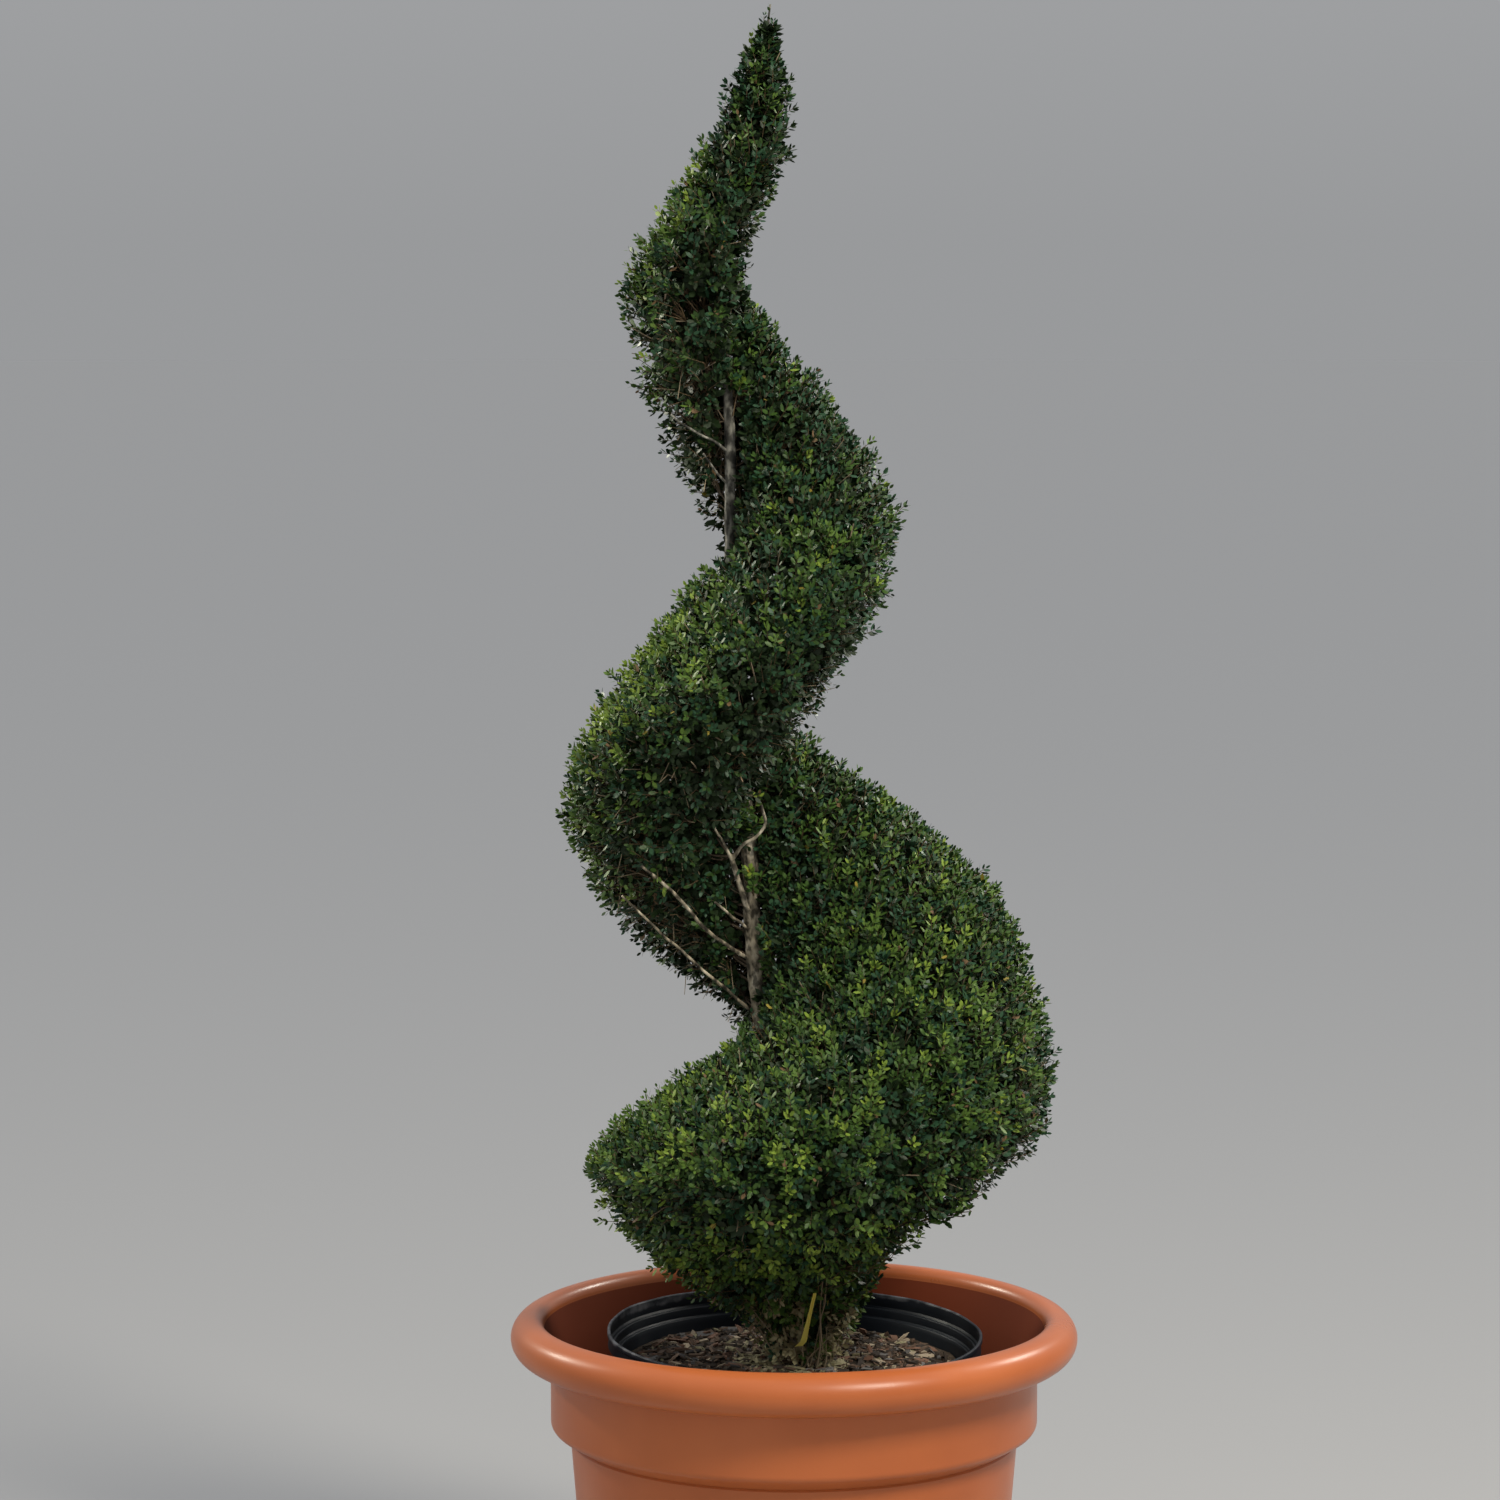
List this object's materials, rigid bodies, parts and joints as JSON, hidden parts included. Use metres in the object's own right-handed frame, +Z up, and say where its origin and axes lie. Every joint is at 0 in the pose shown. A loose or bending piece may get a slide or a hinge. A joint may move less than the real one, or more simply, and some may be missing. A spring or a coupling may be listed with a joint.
{
  "type": "potted spiral topiary",
  "caption": "Small-leaved evergreen shrub clipped to a rising spiral around its trunk, in a nursery container set inside a larger round planter with a rolled rim.",
  "frame": {"origin": "middle of the planter's flat underside, on the surface that it stands on", "axes": "+Z up along the planter's axis; the front seen in the picture faces -Y, so +X is to the right in that view"},
  "size_m": [0.6098, 0.6098, 1.851],
  "materials": {
    "planter": "terracotta-coloured moulded plastic, satin",
    "container": "black blow-moulded plastic, satin, scuffed lip",
    "soil": "weathered bark chips and compost, dull",
    "bark": "tan-grey bark with fine fissures",
    "foliage": "small waxy oval leaves, dark green with lighter new growth",
    "tape": "thin yellow plastic marker tape"
  },
  "bodies": {
    "root": {"planter": "planter", "nursery_container": "container", "soil": "soil", "trunk": "bark", "marker_tape": "tape", "bough_left_high": "bark", "bough_left_low": "bark", "bough_left_short": "bark", "bough_front": "bark", "bough_front_left": "bark", "bough_front_right": "bark", "bough_upper_high": "bark", "bough_upper_low": "bark", "base_right": "foliage", "base_back": "foliage", "base_left": "foliage", "base_front": "foliage", "lower_right": "foliage", "lower_back": "foliage", "middle_left": "foliage", "middle_front": "foliage", "middle_right": "foliage", "middle_back": "foliage", "upper_left": "foliage", "upper_front": "foliage", "upper_right": "foliage", "crown": "foliage"}
  },
  "joints": []
}
